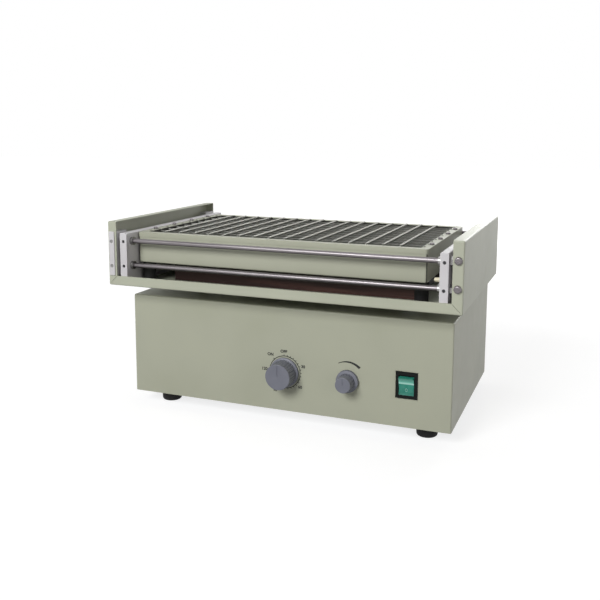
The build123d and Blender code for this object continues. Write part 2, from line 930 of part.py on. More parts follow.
def make_tray_screws():
    screw = pan_screw(tray_head_d, tray_head_h, tray_screw_d, tray_sheet + tray_screw_l)
    return group(
        Pos(x, y, tray_bottom + tray_sheet) * screw for x, y in tray_screw_places()
    )


def make_spring(span, axis_z):
    """A close-wound spring along X between two rim edges `span` apart.

    Heights are measured from the rim's top face, and the coil's axis lies at `axis_z`.
    Each end has a wire hook that climbs over the rim's edge and drops into its slot.
    """
    edge = span / 2
    coil_end = edge - spring_end_gap
    riser = edge - hook_edge_gap - spring_wire / 2
    slot = edge + hook_inset
    spring = TO_RIGHT * Cylinder(spring_d / 2, 2 * coil_end)
    spring = Pos(0, 0, axis_z) * spring

    line = [(coil_end, axis_z), (slot, hook_rise), (slot, -hook_leg)]
    if axis_z < hook_rise:
        line[1:1] = [(riser, axis_z), (riser, hook_rise)]
    path = Polyline(*[(x, 0, z) for x, z in line])
    start = Plane(origin=path @ 0, z_dir=path % 0)
    hook = sweep(start * Rectangle(spring_wire, spring_wire), path, transition=Transition.RIGHT)
    return spring + hook + Rotation(0, 0, 180) * hook


def make_long_springs():
    spring = Rotation(0, 0, 90) * make_spring(long_span, long_z - rim_top)
    return group(Pos(x, tray_y, rim_top) * spring for x in long_spring_xs())


def make_cross_springs():
    spring = make_spring(cross_span, cross_z - rim_top)
    return group(Pos(tray_x, y, rim_top) * spring for y in cross_spring_ys())


# ---------------------------------------------------------------- crank drive
def drive_screw_places():
    return [
        (
            sx * (drive_block_w / 2 - drive_screw_inset),
            drive_y + sy * (drive_block_d / 2 - drive_screw_inset),
        )
        for sx in SIDES
        for sy in SIDES
    ]


def make_drive_block():
    """Aluminium block under the carrier floor that holds the wrist pin."""
    h = carrier_gap - bearing_floor_gap - drive_block_drop
    body = block(drive_block_w, drive_block_d, h, 0, drive_y, carrier_bottom - h)
    body = chamfer(body.edges().filter_by(Axis.Z), 3)
    for x, y in drive_screw_places():
        body -= upright(guide_screw_d, floor_screw_bite, x, y, carrier_bottom - floor_screw_bite)
    return body - upright(pin_d, h, 0, drive_y, carrier_bottom - h)


def make_wrist_pin():
    """Pin held by the drive block, with its retaining ring under the connecting rod."""
    low = conrod_low - pin_tail
    pin = upright(pin_d, carrier_bottom - low, 0, drive_y, low)
    pin = chamfer(pin.edges().group_by(Axis.Z)[0], pin_bevel)
    return pin + upright(ring_d, ring_t, 0, drive_y, conrod_low - ring_gap - ring_t)


def conrod_place(shape):
    """Put a shape drawn along +X from the wrist pin onto the tilted rod line."""
    return Pos(0, drive_y, 0) * Rotation(0, 0, swing_half) * shape


def make_connecting_rod():
    eyes = upright(conrod_eye_d, conrod_t, 0, 0, conrod_low)
    eyes += upright(conrod_eye_d, conrod_t, conrod_l, 0, conrod_low)
    shank = block(conrod_l, conrod_shank_w, conrod_t, conrod_l / 2, 0, conrod_low)
    waist_l = conrod_l - conrod_eye_d - 2 * conrod_waist_end
    waist_z = conrod_top - conrod_waist_depth
    waist = block(waist_l, conrod_waist_w, conrod_waist_depth, conrod_l / 2, 0, waist_z)
    rod = eyes + shank - waist
    rod -= upright(pin_d + 2 * pin_fit, conrod_t, 0, 0, conrod_low)
    rod -= upright(pin_d, conrod_t, conrod_l, 0, conrod_low)
    return conrod_place(rod)


def make_crank_pin():
    """Pin in the connecting rod's far eye; the crank end of the linkage is left open."""
    pin = upright(pin_d, conrod_t, conrod_l, 0, conrod_low)
    head = upright(pin_head_d, pin_head_h, conrod_l, 0, conrod_top)
    return conrod_place(pin + chamfer(head.edges().group_by(Axis.Z)[-1], pin_bevel))


def make_crank_disc():
    disc = upright(crank_disc_d, crank_disc_t, crank_x, drive_y, disc_low)
    disc = chamfer(disc.edges().group_by(Axis.Z)[-1], 1)
    disc -= upright(crank_shaft_d, crank_disc_t, crank_x, drive_y, disc_low)
    seat = upright(pin_d, pin_seat, crank_x, drive_y + crank_r, disc_top - pin_seat)
    balance = upright(pin_d, crank_disc_t, crank_x, drive_y - crank_r - balance_gap, disc_low)
    return disc - seat - balance


def make_crank_shaft():
    low = race_zs[1] - crank_shaft_tail
    shaft = upright(crank_shaft_d, disc_top - low, crank_x, drive_y, low)
    return chamfer(shaft.edges().group_by(Axis.Z)[0], 0.8)


def v_pulley(d, t, bore):
    """Pulley blank with one V groove, from z = 0 up."""
    r = d / 2
    half = t / 2
    lip = (t - groove_w) / 2
    floor = r - groove_depth
    profile = Polyline(
        (bore / 2, 0), (r, 0), (r, lip), (floor, half - groove_floor / 2), (floor, half + groove_floor / 2),
        (r, t - lip), (r, t), (bore / 2, t), close=True,
    )
    return revolve(Plane.XZ * make_face(profile), Axis.Z)


def make_crank_pulley():
    wheel = v_pulley(crank_pulley_d, crank_pulley_t, crank_shaft_d)
    ring_r = pulley_hole_ring / 2
    for i in range(pulley_holes):
        a = 2 * pi * i / pulley_holes
        wheel -= upright(pulley_hole_d, crank_pulley_t, ring_r * cos(a), ring_r * sin(a))
    return Pos(crank_x, drive_y, pulley_low) * wheel


def make_crank_housing():
    """Flanged bearing pillar on the bottom plate."""
    pillar = upright(housing_d, housing_top - inside_floor, crank_x, drive_y, inside_floor)
    base = upright(housing_flange_d, housing_flange_t, crank_x, drive_y, inside_floor)
    body = pillar + base
    bore = housing_top - inside_floor
    body -= upright(crank_shaft_d + housing_room, bore, crank_x, drive_y, inside_floor)
    for z in race_zs:
        body -= upright(ball_race_d, ball_race_t, crank_x, drive_y, z)
    r = housing_flange_d / 2 - housing_bolt_inset
    for i in range(housing_bolts):
        a = 2 * pi * (i + 0.5) / housing_bolts
        x, y = crank_x + r * cos(a), drive_y + r * sin(a)
        body -= upright(housing_bolt_d, housing_flange_t, x, y, inside_floor)
    return body


def make_ball_races():
    bore = crank_shaft_d + 2 * shaft_fit
    ring = upright(ball_race_d, ball_race_t) - upright(bore, ball_race_t)
    z = ball_race_t - race_groove_h
    groove = upright(race_groove_out_d, race_groove_h, z=z)
    ring -= groove - upright(race_groove_in_d, race_groove_h, z=z)
    return group(Pos(crank_x, drive_y, z) * ring for z in race_zs)


def make_motor_body():
    low = motor_top - motor_h
    body = upright(motor_d, motor_h, motor_x, drive_y, low)
    body = fillet(body.edges().group_by(Axis.Z)[0], motor_round)
    body += upright(motor_boss_d, motor_boss_h, motor_x, drive_y, motor_top)
    well = motor_shaft_tail + motor_shaft_room
    well_z = motor_top + motor_boss_h - well
    body -= upright(motor_shaft_d + 2 * shaft_fit, well, motor_x, drive_y, well_z)
    for z in spread(motor_rings, motor_ring_pitch, low + motor_h / 2):
        ring = upright(motor_d + 1, motor_ring_w, motor_x, drive_y, z)
        ring -= upright(motor_d - 2 * motor_ring_depth, motor_ring_w, motor_x, drive_y, z)
        body -= ring
    return body


def make_motor_bracket():
    """Bridge that hangs the motor by its face; two legs stand on the bottom plate."""
    leg_x = bracket_w / 2
    bridge = block(bracket_w, bracket_d, bracket_t, motor_x, drive_y, motor_top)
    for sx in SIDES:
        leg_h = motor_top + bracket_t - inside_floor
        x = motor_x + sx * (leg_x - bracket_t / 2)
        bridge += block(bracket_t, bracket_d, leg_h, x, drive_y, inside_floor)
        foot_x = motor_x + sx * (leg_x + bracket_foot / 2 - bracket_t / 2)
        bridge += block(bracket_foot, bracket_d, bracket_t, foot_x, drive_y, inside_floor)
    return bridge - upright(motor_boss_d, bracket_t, motor_x, drive_y, motor_top)


def make_motor_shaft():
    low = motor_top + motor_boss_h - motor_shaft_tail
    return upright(motor_shaft_d, pulley_top - low, motor_x, drive_y, low)


def make_motor_pulley():
    wheel = v_pulley(motor_pulley_d, crank_pulley_t, motor_shaft_d)
    return Pos(motor_x, drive_y, pulley_low) * wheel


def make_drive_belt():
    """V belt round both pulleys, running just clear of the groove walls."""
    inner = belt_outline(belt_inset)
    outer = belt_outline(belt_inset - belt_t)
    return Pos(motor_x, drive_y, belt_z - belt_w / 2) * extrude(outer - inner, belt_w)


def belt_outline(inset):
    """Area inside an open belt line, `inset` inside both pulley rims."""
    span = crank_x - motor_x
    r1 = motor_pulley_d / 2 - inset
    r2 = crank_pulley_d / 2 - inset
    a = asin((r2 - r1) / span)
    ends = []
    for sy in SIDES:
        n = (-sin(a), sy * cos(a))
        ends.append(((r1 * n[0], r1 * n[1]), (span + r2 * n[0], r2 * n[1])))
    (a0, b0), (a1, b1) = ends
    edges = [
        Line(a0, b0),
        ThreePointArc(b0, (span + r2, 0), b1),
        Line(b1, a1),
        ThreePointArc(a1, (-r1, 0), a0),
    ]
    return make_face(edges)


# ---------------------------------------------------------------- front controls
def make_timer_body():
    """Clockwork timer behind the panel, with its threaded bush."""
    x, z = timer_x, cabinet_bottom + timer_z
    y = cabinet_front + cabinet_sheet
    body = Pos(x, y + timer_body_t / 2, z) * Box(timer_body_w, timer_body_t, timer_body_h)
    body = fillet(body.edges().filter_by(Axis.Y), timer_body_round)
    bush = cabinet_sheet + panel_nut_t
    body += to_front(timer_bush_d, bush, x, y, z)
    return body - spindle_hole(x, z)


def spindle_hole(x, z):
    """Running hole for a control spindle, from the bush's mouth to past its inner end."""
    y = cabinet_front + cabinet_sheet + spindle_tail + spindle_well
    length = spindle_well + spindle_tail + cabinet_sheet + panel_nut_t
    return to_front(spindle_d + 2 * shaft_fit, length, x, y, z)


def panel_nut(across_flats, bore, x, z):
    nut = hexagon(across_flats, panel_nut_t) - upright(bore, panel_nut_t)
    return Pos(x, cabinet_front, z) * TO_FRONT * nut


def fluted_knob(skirt_d, grip_d, cap_d, height, skirt_h, flutes, flute_d):
    """Moulded knob, axis +Z, back face at z = 0; the flutes run up the tapered grip."""
    profile = Polyline(
        (0, 0), (skirt_d / 2, 0), (skirt_d / 2, skirt_h), (grip_d / 2, skirt_h + knob_grip_step),
        (cap_d / 2, height), (0, height), close=True,
    )
    knob = revolve(Plane.XZ * make_face(profile), Axis.Z)
    knob = fillet(knob.edges().group_by(Axis.Z)[-1], knob_round)
    for i in range(flutes):
        a = 2 * pi * i / flutes
        r = (grip_d + cap_d) / 4 + flute_d * 0.28
        knob -= upright(flute_d, height, r * cos(a), r * sin(a), skirt_h + knob_flute_start)
    return knob


def hollow_for_nut(knob, nut_af, spindle_l):
    """Relief behind the knob for the panel nut, and the bore for the spindle."""
    room = panel_nut_t + knob_bush_room
    knob -= upright(nut_af / cos(pi / 6) + knob_nut_room, room)
    return knob - upright(spindle_d, room + spindle_l)


def place_knob(knob, x, z):
    return Pos(x, cabinet_front - knob_lift, cabinet_bottom + z) * TO_FRONT * knob


def pointer_groove(width, cap_d, rim_gap, height):
    """Line moulded into a knob's cap, from near its middle out towards 12 o'clock."""
    length = cap_d / 2 - rim_gap
    return block(width, length, knob_mark_h, 0, (cap_d - length) / 2 - rim_gap / 2, height - knob_mark_h)


def make_timer_knob():
    knob = fluted_knob(
        timer_knob_d, timer_cap_d + 1, timer_cap_d, timer_knob_h, timer_skirt_h,
        timer_flutes, timer_flute_d,
    )
    knob = hollow_for_nut(knob, timer_nut_af, timer_bore)
    knob -= pointer_groove(timer_mark_w, timer_cap_d, timer_mark_gap, timer_knob_h)
    return place_knob(knob, timer_x, timer_z)


def make_spindle(x, z, bore):
    """Control spindle from inside its bush to the bottom of the knob's bore."""
    reach = spindle_tail + cabinet_sheet + knob_lift + panel_nut_t + knob_bush_room + bore
    y = cabinet_front + cabinet_sheet + spindle_tail
    return to_front(spindle_d, reach, x, y, cabinet_bottom + z)


def make_timer_spindle():
    return make_spindle(timer_x, timer_z, timer_bore)


def make_speed_control():
    """Rotary potentiometer behind the panel, with its bush and three solder tags."""
    x, z = speed_x, cabinet_bottom + speed_z
    y = cabinet_front + cabinet_sheet
    body = to_rear(speed_body_d, speed_body_t, x, y, z)
    tag_z = z - speed_body_d / 2 - speed_tag_drop
    for dx in spread(3, speed_tag_pitch):
        body += block(speed_tag_w, speed_tag_t, speed_tag_l, x + dx, y + speed_body_t / 2, tag_z)
    bush = cabinet_sheet + panel_nut_t
    body += to_front(speed_bush_d, bush, x, y, z)
    return body - spindle_hole(x, z)


def make_speed_knob():
    knob = fluted_knob(
        speed_knob_d, speed_cap_d + 2, speed_cap_d, speed_knob_h, speed_skirt_h,
        speed_flutes, speed_flute_d,
    )
    knob = hollow_for_nut(knob, speed_nut_af, speed_bore)
    knob -= pointer_groove(speed_mark_w, speed_cap_d, speed_mark_gap, speed_knob_h)
    return place_knob(knob, speed_x, speed_z)


def make_speed_spindle():
    return make_spindle(speed_x, speed_z, speed_bore)


def make_panel_nuts():
    return group(
        [
            panel_nut(timer_nut_af, timer_bush_d, timer_x, cabinet_bottom + timer_z),
            panel_nut(speed_nut_af, speed_bush_d, speed_x, cabinet_bottom + speed_z),
        ]
    )


def rocker_pivot():
    return (switch_x, cabinet_front + rocker_pivot_depth, cabinet_bottom + switch_z)


def make_switch_housing():
    x, z = switch_x, cabinet_bottom + switch_z
    bezel = Pos(x, cabinet_front - switch_bezel_t / 2, z) * Box(
        switch_bezel_w, switch_bezel_t, switch_bezel_h
    )
    bezel = chamfer(bezel.edges().group_by(Axis.Y)[0], 0.7)
    body = Pos(x, cabinet_front + switch_body_t / 2, z) * Box(
        switch_body_w, switch_body_t, switch_body_h
    )
    well_w = rocker_w + 2 * rocker_gap_x
    well_h = rocker_h + 2 * rocker_gap_z
    well_depth = rocker_pivot_depth + rocker_back + 3
    well = Pos(x, cabinet_front + (well_depth - switch_bezel_t) / 2, z) * Box(
        well_w, well_depth + switch_bezel_t, well_h
    )
    housing = bezel + body - well
    px, py, pz = rocker_pivot()
    return housing - along_x(rocker_pin_d + 0.1, well_w + 2 * rocker_pin_l, px, py, pz)


def make_rocker():
    """Concave-faced rocker with two trunnions, lower half pressed at rest."""
    half = rocker_h / 2
    reach = rocker_reach
    side = Polyline(
        (reach, half), (1.5, half), (-rocker_back, half * 0.6),
        (-rocker_back, -half * 0.6), (1.5, -half), (reach, -half),
    )
    face = ThreePointArc((reach, -half), (reach - 2.6, 0), (reach, half))
    section = make_face([side.edges(), face])
    body = extrude(Plane.XY * section, rocker_w / 2, both=True)
    body += Cylinder(rocker_pin_d / 2, rocker_w + 2 * rocker_gap_x + 2 * (rocker_pin_l - 0.2))
    placed = Plane(origin=rocker_pivot(), x_dir=(0, -1, 0), z_dir=(1, 0, 0)) * body
    px, py, pz = rocker_pivot()
    return Pos(px, py, pz) * Rotation(rocker_tilt, 0, 0) * Pos(-px, -py, -pz) * placed


# ---------------------------------------------------------------- rear mains entry
def make_mains_inlet():
    """Three-pin appliance inlet: flange, body and shaped well, open to the rear."""
    x, z = inlet_x, cabinet_bottom + inlet_z
    y = cabinet_rear
    flange = Pos(x, y + inlet_flange_t / 2, z) * Box(inlet_flange_w, inlet_flange_t, inlet_flange_h)
    flange = fillet(flange.edges().filter_by(Axis.Y), inlet_round)
    body = Pos(x, y - inlet_body_t / 2, z) * Box(inlet_w, inlet_body_t, inlet_h)
    well_w = inlet_w - 2 * inlet_wall
    well_h = inlet_h - 2 * inlet_wall
    well = Pos(x, y + inlet_flange_t - inlet_depth / 2, z) * Box(well_w, inlet_depth, well_h)
    well = chamfer(well.edges().filter_by(Axis.Y).group_by(Axis.Z)[-1], inlet_corner_cut)
    inlet = flange + body - well
    for sx in SIDES:
        inlet -= to_rear(inlet_screw_d, inlet_flange_t, x + sx * inlet_screw_pitch / 2, y, z)
    return inlet


def make_inlet_pins():
    x, z = inlet_x, cabinet_bottom + inlet_z
    floor_y = cabinet_rear + inlet_flange_t - inlet_depth
    y = floor_y + inlet_pin_l / 2
    places = [(sx * inlet_pin_pitch, -inlet_pin_drop) for sx in SIDES] + [(0, inlet_earth_rise)]
    return group(
        Pos(x + dx, y, z + dz) * Box(inlet_pin_w, inlet_pin_l, inlet_pin_h) for dx, dz in places
    )


def make_inlet_screws():
    shank = inlet_flange_t + cabinet_sheet + inlet_screw_end
    screw = pan_screw(inlet_screw_head_d, inlet_screw_head_h, inlet_screw_d, shank)
    y = cabinet_rear + inlet_flange_t
    z = cabinet_bottom + inlet_z
    return group(
        Pos(inlet_x + sx * inlet_screw_pitch / 2, y, z) * TO_REAR * screw for sx in SIDES
    )


def make_fuse_holder():
    x, z = fuse_x, cabinet_bottom + inlet_z
    body = to_rear(fuse_bezel_d, fuse_bezel_t, x, cabinet_rear, z)
    body = chamfer(body.edges().group_by(Axis.Y)[-1], 0.8)
    return body + to_front(fuse_d, fuse_body_l, x, cabinet_rear, z)


def make_fuse_cap():
    x, z = fuse_x, cabinet_bottom + inlet_z
    cap = upright(fuse_cap_d, fuse_cap_l)
    cap = chamfer(cap.edges().group_by(Axis.Z)[-1], 1.0)
    cap -= block(fuse_cap_d, 1.6, 1.8, z=fuse_cap_l - 1.8)
    return Pos(x, cabinet_rear + fuse_bezel_t, z) * TO_REAR * cap


# ---------------------------------------------------------------- speed control board
def board_corners():
    return [
        (
            board_x + sx * (board_w / 2 - board_hole_inset),
            board_y + sy * (board_d / 2 - board_hole_inset),
        )
        for sx in SIDES
        for sy in SIDES
    ]


def make_control_board():
    z = inside_floor + standoff_h
    board = block(board_w, board_d, board_t, board_x, board_y, z)
    for x, y in board_corners():
        board -= upright(board_hole_d, board_t, x, y, z)
    return board


def make_board_standoffs():
    post = upright(standoff_d, standoff_h, z=inside_floor)
    return group(Pos(x, y, 0) * post for x, y in board_corners())


def make_board_parts():
    """Heatsink, capacitors and terminal strip on the control board."""
    z = inside_floor + standoff_h + board_t
    sink_x, sink_y = board_x + sink_dx, board_y + sink_dy
    sink = block(sink_w, sink_d, sink_h, sink_x, sink_y, z)
    for dx in spread(sink_slots, sink_slot_pitch):
        slot_y = sink_y + sink_web
        sink -= block(sink_slot_w, sink_d, sink_h, sink_x + dx, slot_y, z + sink_web)
    cans = [
        upright(cap_d, cap_h, board_x + dx, board_y + cap_dy, z)
        for dx in spread(cap_count, cap_pitch, cap_dx)
    ]
    strip = block(terminal_w, terminal_d, terminal_h, board_x + terminal_dx, board_y + terminal_dy, z)
    return group([sink, strip] + cans)


# ---------------------------------------------------------------- write every node
NODES = {
    "cabinet_shell": make_cabinet_shell,
    "bottom_plate": make_bottom_plate,
    "bottom_plate_screws": make_plate_screws,
    "rubber_feet": make_rubber_feet,
    "foot_screws": make_foot_screws,
    "foot_nuts": make_foot_nuts,
    "guide_rails": make_guide_rails,
    "rail_supports": make_rail_supports,
    "rail_support_screws": make_support_screws,
    "slide_bearings": make_slide_bearings,
    "carrier_frame": make_carrier_frame,
    "carrier_floor_screws": make_bearing_screws,
    "side_guard_left": lambda: make_side_guard(-1),
    "side_guard_right": lambda: make_side_guard(1),
    "guard_rods": make_guard_rods,
    "rod_nuts": make_rod_nuts,
    "guard_grub_screws": make_grub_screws,
    "rod_holders": make_rod_holders,
    "flange_dome_screws": make_dome_screws,
    "packing_strip": make_packing_strip,
    "packing_strip_screws": make_strip_screws,
    "tray_stop": make_tray_stop,
    "bed_board": make_bed_board,
    "tray_posts": make_tray_posts,
    "tray_pan": make_tray_pan,
    "tray_screws": make_tray_screws,
    "tray_rim_screws": make_rim_screws,
    "long_springs": make_long_springs,
    "cross_springs": make_cross_springs,
    "drive_block": make_drive_block,
    "wrist_pin": make_wrist_pin,
    "connecting_rod": make_connecting_rod,
    "crank_pin": make_crank_pin,
    "crank_disc": make_crank_disc,
    "crank_shaft": make_crank_shaft,
    "crank_pulley": make_crank_pulley,
    "crank_housing": make_crank_housing,
    "ball_races": make_ball_races,
    "motor_body": make_motor_body,
    "motor_bracket": make_motor_bracket,
    "motor_shaft": make_motor_shaft,
    "motor_pulley": make_motor_pulley,
    "drive_belt": make_drive_belt,
    "timer_body": make_timer_body,
    "timer_spindle": make_timer_spindle,
    "timer_knob": make_timer_knob,
    "speed_control": make_speed_control,
    "speed_spindle": make_speed_spindle,
    "speed_knob": make_speed_knob,
    "panel_nuts": make_panel_nuts,
    "switch_housing": make_switch_housing,
    "switch_rocker": make_rocker,
    "mains_inlet": make_mains_inlet,
    "inlet_pins": make_inlet_pins,
    "inlet_screws": make_inlet_screws,
    "fuse_holder": make_fuse_holder,
    "fuse_cap": make_fuse_cap,
    "control_board": make_control_board,
    "board_standoffs": make_board_standoffs,
    "board_components": make_board_parts,
}

for node, make in NODES.items():
    save(make(), node)
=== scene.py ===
"""Dresses the reciprocating shaker: finishes for its parts, coiled flask springs, panel print,
rocker mark, studio floor, soft lights and the camera. Lengths are in metres."""

import json
from math import atan2, cos, pi, radians, sin

import bpy
from mathutils import Matrix, Vector


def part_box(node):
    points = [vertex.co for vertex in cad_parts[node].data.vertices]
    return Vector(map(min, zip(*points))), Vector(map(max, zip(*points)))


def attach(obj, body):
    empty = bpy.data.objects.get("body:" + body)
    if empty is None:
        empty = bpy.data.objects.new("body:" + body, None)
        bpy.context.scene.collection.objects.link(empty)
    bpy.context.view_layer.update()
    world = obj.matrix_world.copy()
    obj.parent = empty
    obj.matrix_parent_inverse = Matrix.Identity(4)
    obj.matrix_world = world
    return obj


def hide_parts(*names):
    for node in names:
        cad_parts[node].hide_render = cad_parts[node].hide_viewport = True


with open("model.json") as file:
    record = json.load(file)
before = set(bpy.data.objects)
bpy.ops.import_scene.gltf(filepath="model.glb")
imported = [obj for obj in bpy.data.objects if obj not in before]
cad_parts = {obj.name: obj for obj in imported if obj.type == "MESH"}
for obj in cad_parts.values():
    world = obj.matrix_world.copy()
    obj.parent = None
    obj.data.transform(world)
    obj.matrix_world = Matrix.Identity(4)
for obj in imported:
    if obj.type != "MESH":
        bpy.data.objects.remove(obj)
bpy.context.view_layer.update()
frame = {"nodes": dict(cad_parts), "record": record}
nodes = frame["nodes"]
scene = bpy.context.scene
scene.view_settings.view_transform = "Standard"


# ------------------------------------------------------------------ colours and node helpers
def srgb(r, g, b):
    """A colour given as 0-255 display values, as linear RGBA."""
    linear = [
        c / 12.92 if c <= 0.04045 else ((c + 0.055) / 1.055) ** 2.4
        for c in (r / 255, g / 255, b / 255)
    ]
    return (*linear, 1.0)


# A Mix node has sockets for each data type: these are the ones for mixing colours.
MIX_FACTOR = 0
MIX_FIRST = 6
MIX_SECOND = 7
MIX_RESULT = 2


class Finish:
    """A material under construction: its tree, its shader and short ways to wire them."""

    def __init__(self, name, roughness=0.5, metallic=0.0, specular=0.5, coat=0.0):
        self.material = bpy.data.materials.new(name)
        self.material.use_nodes = True
        self.tree = self.material.node_tree
        self.shader = self.tree.nodes["Principled BSDF"]
        self.shader.inputs["Roughness"].default_value = roughness
        self.shader.inputs["Metallic"].default_value = metallic
        self.shader.inputs["Specular IOR Level"].default_value = specular
        self.shader.inputs["Coat Weight"].default_value = coat
        self.place = self.tree.nodes.new("ShaderNodeTexCoord").outputs["Object"]

    def stretched(self, x=1.0, y=1.0, z=1.0):
        """Object coordinates scaled per axis: below 1 draws a pattern out along that axis."""
        mapping = self.tree.nodes.new("ShaderNodeMapping")
        mapping.inputs["Scale"].default_value = (x, y, z)
        self.tree.links.new(self.place, mapping.inputs["Vector"])
        return mapping.outputs["Vector"]

    def noise(self, scale, detail=2.0, vector=None):
        noise = self.tree.nodes.new("ShaderNodeTexNoise")
        noise.inputs["Scale"].default_value = scale
        noise.inputs["Detail"].default_value = detail
        self.tree.links.new(vector or self.place, noise.inputs["Vector"])
        return noise.outputs["Fac"]

    def ramp(self, value, *stops):
        """Colours at places along a 0-1 value: (place, colour), (place, colour), ..."""
        ramp = self.tree.nodes.new("ShaderNodeValToRGB")
        colours = ramp.color_ramp.elements
        while len(colours) < len(stops):
            colours.new(0.5)
        for element, (place, colour) in zip(colours, stops):
            element.position = place
            element.color = colour
        self.tree.links.new(value, ramp.inputs["Fac"])
        return ramp.outputs["Color"]

    def spread(self, value, low, high, from_low=0.0, from_high=1.0):
        """The value carried from one range to another, clamped."""
        remap = self.tree.nodes.new("ShaderNodeMapRange")
        remap.inputs["From Min"].default_value = from_low
        remap.inputs["From Max"].default_value = from_high
        remap.inputs["To Min"].default_value = low
        remap.inputs["To Max"].default_value = high
        self.tree.links.new(value, remap.inputs["Value"])
        return remap.outputs["Result"]

    def blend(self, factor, first, second):
        """Two colours mixed by a factor, each a colour or a node's output."""
        mix = self.tree.nodes.new("ShaderNodeMix")
        mix.data_type = "RGBA"
        for socket, value in ((MIX_FACTOR, factor), (MIX_FIRST, first), (MIX_SECOND, second)):
            self.feed(mix, socket, value)
        return mix.outputs[MIX_RESULT]

    def feed(self, node, socket, value):
        """Set a node's input to a plain value, or link an output to it."""
        if isinstance(value, (tuple, float)):
            node.inputs[socket].default_value = value
        else:
            self.tree.links.new(value, node.inputs[socket])

    def math(self, operation, first, second=0.0):
        node = self.tree.nodes.new("ShaderNodeMath")
        node.operation = operation
        self.feed(node, 0, first)
        self.feed(node, 1, second)
        return node.outputs["Value"]

    def split(self):
        """Separate X, Y and Z outputs of the object coordinates."""
        node = self.tree.nodes.new("ShaderNodeSeparateXYZ")
        self.tree.links.new(self.place, node.inputs["Vector"])
        return node.outputs

    def colour(self, value):
        self.tree.links.new(value, self.shader.inputs["Base Color"])

    def gloss(self, value):
        self.tree.links.new(value, self.shader.inputs["Roughness"])

    def relief(self, height, strength, depth):
        bump = self.tree.nodes.new("ShaderNodeBump")
        bump.inputs["Strength"].default_value = strength
        bump.inputs["Distance"].default_value = depth
        self.tree.links.new(height, bump.inputs["Height"])
        self.tree.links.new(bump.outputs["Normal"], self.shader.inputs["Normal"])


def enamel_skin(paint):
    """Uneven gloss and a fine orange-peel relief."""
    paint.gloss(paint.spread(paint.noise(60.0, 4.0), 0.36, 0.50))
    paint.relief(paint.noise(900.0, 2.0), 0.16, 0.0002)


def satin_enamel(name, r, g, b):
    """Baked satin enamel on sheet steel, faintly mottled and flecked."""
    paint = Finish(name, roughness=0.42, specular=0.45)
    mottle = paint.noise(9.0, 3.0)
    cloud = paint.ramp(
        mottle,
        (0.32, srgb(r - 4, g - 4, b - 5)),
        (0.5, srgb(r, g, b)),
        (0.7, srgb(r + 3, g + 3, b + 2)),
    )
    fleck = paint.noise(1400.0, 1.0)
    speck = paint.spread(fleck, 0.0, 0.10, 0.45, 0.8)
    paint.colour(paint.blend(speck, cloud, srgb(r + 22, g + 22, b + 20)))
    enamel_skin(paint)
    return paint.material


def tray_enamel():
    """Much the same enamel, with painted shade darkening the inside of the pan.

    The inside is what lies within the middle of the walls and below the skin of the rim.
    """
    wall_middle = 0.0011
    rim_skin = 0.0005
    low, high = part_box("tray_pan")
    middle = (low + high) / 2
    half = (high - low) / 2
    paint = Finish("tray satin enamel", roughness=0.42, specular=0.45)
    at = paint.split()
    across = paint.math("ABSOLUTE", paint.math("SUBTRACT", at["X"], middle.x))
    along = paint.math("ABSOLUTE", paint.math("SUBTRACT", at["Y"], middle.y))
    inside = paint.math("LESS_THAN", across, half.x - wall_middle)
    for limit in (
        paint.math("LESS_THAN", along, half.y - wall_middle),
        paint.math("LESS_THAN", at["Z"], high.z - rim_skin),
    ):
        inside = paint.math("MULTIPLY", inside, limit)
    # Painted shade: these darker colours stand in for the shade that falls inside the pan.
    painted_inner_shade = paint.ramp(
        paint.noise(26.0, 5.0),
        (0.3, srgb(70, 70, 65)),
        (0.6, srgb(88, 88, 81)),
        (0.8, srgb(102, 103, 94)),
    )
    cloud = paint.ramp(
        paint.noise(9.0, 3.0), (0.32, srgb(169, 171, 153)), (0.7, srgb(175, 177, 159))
    )
    paint.colour(paint.blend(inside, cloud, painted_inner_shade))
    enamel_skin(paint)
    return paint.material


def white_guard_plastic():
    """Sawn white plastic with fine marks along Y."""
    plastic = Finish("guard white plastic", roughness=0.38, specular=0.45)
    cloud = plastic.noise(14.0, 3.0)
    tone = plastic.ramp(
        cloud,
        (0.3, srgb(198, 195, 197)),
        (0.6, srgb(208, 206, 208)),
        (0.85, srgb(214, 212, 213)),
    )
    plastic.colour(tone)
    saw = plastic.noise(220.0, 2.0, vector=plastic.stretched(1.0, 0.06, 1.0))
    plastic.gloss(plastic.spread(saw, 0.30, 0.50))
    plastic.relief(saw, 0.12, 0.0002)
    return plastic.material


def plated_steel(name, r, g, b, roughness, along=(1.0, 1.0, 1.0), grain=500.0):
    """Metal with fine lines, drawn out along the axis whose `along` is small."""
    metal = Finish(name, roughness=roughness, metallic=1.0)
    lines = metal.noise(grain, 3.0, vector=metal.stretched(*along))
    metal.colour(metal.ramp(lines, (0.25, srgb(r - 14, g - 14, b - 14)), (0.7, srgb(r, g, b))))
    metal.gloss(metal.spread(lines, roughness * 0.75, roughness * 1.35))
    metal.relief(lines, 0.08, 0.0001)
    return metal.material


def streaked_board():
    """Dark laminate with long streaks across the machine."""
    board = Finish("bed board laminate", roughness=0.45, specular=0.25)
    broad = board.noise(38.0, 5.0, vector=board.stretched(0.09, 1.0, 1.6))
    fine = board.noise(210.0, 4.0, vector=board.stretched(0.05, 1.0, 1.4))
    tone = board.ramp(
        broad,
        (0.28, srgb(36, 23, 21)),
        (0.48, srgb(50, 33, 30)),
        (0.62, srgb(78, 52, 46)),
        (0.8, srgb(41, 27, 25)),
    )
    board.colour(board.blend(board.spread(fine, 0.0, 0.6, 0.45, 0.75), tone, srgb(27, 18, 17)))
    board.gloss(board.spread(fine, 0.34, 0.5))
    board.relief(fine, 0.12, 0.0002)
    return board.material


